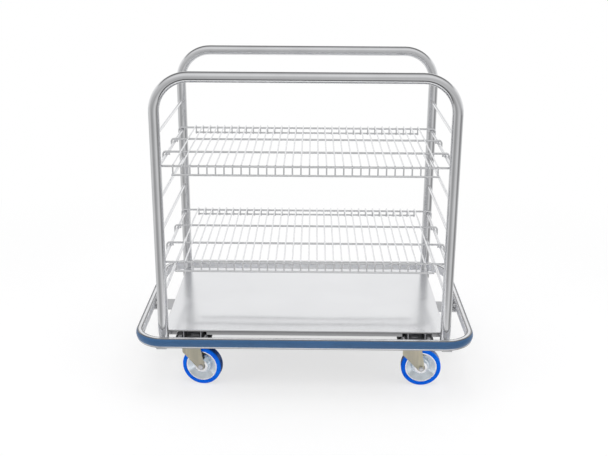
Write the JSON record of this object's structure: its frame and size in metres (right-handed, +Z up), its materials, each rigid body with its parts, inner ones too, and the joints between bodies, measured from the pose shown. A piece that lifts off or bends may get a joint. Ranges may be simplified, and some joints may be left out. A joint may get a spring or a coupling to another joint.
{
  "type": "open case cart",
  "caption": "Open wheeled cart with two bent tube end frames, side rods, lift-off wire shelves, a flat deck, a wraparound bumper and swivel casters.",
  "frame": {"origin": "on the floor, under the middle of the cart", "axes": "+X across the cart along its long side, to the right seen from the front; +Y from the front to the rear; +Z up"},
  "size_m": [1.0508, 0.7068, 1.0149],
  "materials": {
    "tube": "polished stainless tube",
    "rod": "bright stainless rod",
    "wire": "bright electropolished stainless wire",
    "deck": "satin stainless sheet",
    "base": "satin stainless bar and sheet",
    "channel": "polished stainless section",
    "vinyl": "smooth vinyl",
    "fastener": "bright plated steel",
    "balls": "polished steel balls",
    "zinc": "yellow zinc plate on pressed steel",
    "pin": "turned steel",
    "axle": "bright plated steel",
    "tread": "polyurethane tyre",
    "core": "turned cast aluminium",
    "bearing": "steel bush"
  },
  "bodies": {
    "frame": {"front_frame_tube": "tube", "rear_frame_tube": "tube", "left_side_rods": "rod", "right_side_rods": "rod", "deck_pan": "deck", "left_base_rail": "base", "right_base_rail": "base", "deck_stiffeners": "base", "bumper_cross_bar": "base", "corner_brackets": "base", "bumper_angle_brackets": "base", "bumper_channel": "channel", "bumper_insert": "vinyl", "bumper_bolts": "fastener", "bumper_nuts": "fastener", "caster_bolts": "fastener", "caster_washers": "fastener", "caster_nuts": "fastener", "race_balls": "balls", "fl_caster_plate": "zinc", "fr_caster_plate": "zinc", "rl_caster_plate": "zinc", "rr_caster_plate": "zinc", "fl_kingpin": "pin", "fr_kingpin": "pin", "rl_kingpin": "pin", "rr_kingpin": "pin"},
    "fl_swivel": {"fl_fork": "zinc", "fl_axle_bolt": "axle", "fl_axle_nut": "axle"},
    "fl_wheel": {"fl_wheel_tread": "tread", "fl_wheel_core": "core", "fl_wheel_bearing": "bearing"},
    "fr_swivel": {"fr_fork": "zinc", "fr_axle_bolt": "axle", "fr_axle_nut": "axle"},
    "fr_wheel": {"fr_wheel_tread": "tread", "fr_wheel_core": "core", "fr_wheel_bearing": "bearing"},
    "rl_swivel": {"rl_fork": "zinc", "rl_axle_bolt": "axle", "rl_axle_nut": "axle"},
    "rl_wheel": {"rl_wheel_tread": "tread", "rl_wheel_core": "core", "rl_wheel_bearing": "bearing"},
    "rr_swivel": {"rr_fork": "zinc", "rr_axle_bolt": "axle", "rr_axle_nut": "axle"},
    "rr_wheel": {"rr_wheel_tread": "tread", "rr_wheel_core": "core", "rr_wheel_bearing": "bearing"},
    "upper_shelf": {"upper_long_wires": "wire", "upper_cross_wires": "wire", "upper_lip_wires": "wire"},
    "lower_shelf": {"lower_long_wires": "wire", "lower_cross_wires": "wire", "lower_lip_wires": "wire"}
  },
  "joints": [
    {"name": "fl_caster_swivel", "type": "hinge", "parent": "frame", "child": "fl_swivel", "pos_m": [-0.35, -0.208, 0.165], "axis": [0, 0, 1], "continuous": true},
    {"name": "fl_wheel_roll", "type": "hinge", "parent": "fl_swivel", "child": "fl_wheel", "pos_m": [-0.32644, -0.21258, 0.0635], "axis": [0.1908, 0.9816, 0], "continuous": true},
    {"name": "fr_caster_swivel", "type": "hinge", "parent": "frame", "child": "fr_swivel", "pos_m": [0.35, -0.208, 0.165], "axis": [0, 0, 1], "continuous": true},
    {"name": "fr_wheel_roll", "type": "hinge", "parent": "fr_swivel", "child": "fr_wheel", "pos_m": [0.37399, -0.20884, 0.0635], "axis": [0.0349, 0.9994, 0], "continuous": true},
    {"name": "rl_caster_swivel", "type": "hinge", "parent": "frame", "child": "rl_swivel", "pos_m": [-0.35, 0.208, 0.165], "axis": [0, 0, 1], "continuous": true},
    {"name": "rl_wheel_roll", "type": "hinge", "parent": "rl_swivel", "child": "rl_wheel", "pos_m": [-0.32745, 0.19979, 0.0635], "axis": [0.342, 0.9397, 0], "continuous": true},
    {"name": "rr_caster_swivel", "type": "hinge", "parent": "frame", "child": "rr_swivel", "pos_m": [0.35, 0.208, 0.165], "axis": [0, 0, 1], "continuous": true},
    {"name": "rr_wheel_roll", "type": "hinge", "parent": "rr_swivel", "child": "rr_wheel", "pos_m": [0.37329, 0.21381, 0.0635], "axis": [-0.2419, 0.9703, 0], "continuous": true},
    {"name": "upper_shelf_lift", "type": "slide", "parent": "frame", "child": "upper_shelf", "axis": [0, 0, 1], "range_m": [0, 0.07]},
    {"name": "lower_shelf_lift", "type": "slide", "parent": "frame", "child": "lower_shelf", "axis": [0, 0, 1], "range_m": [0, 0.07]}
  ]
}
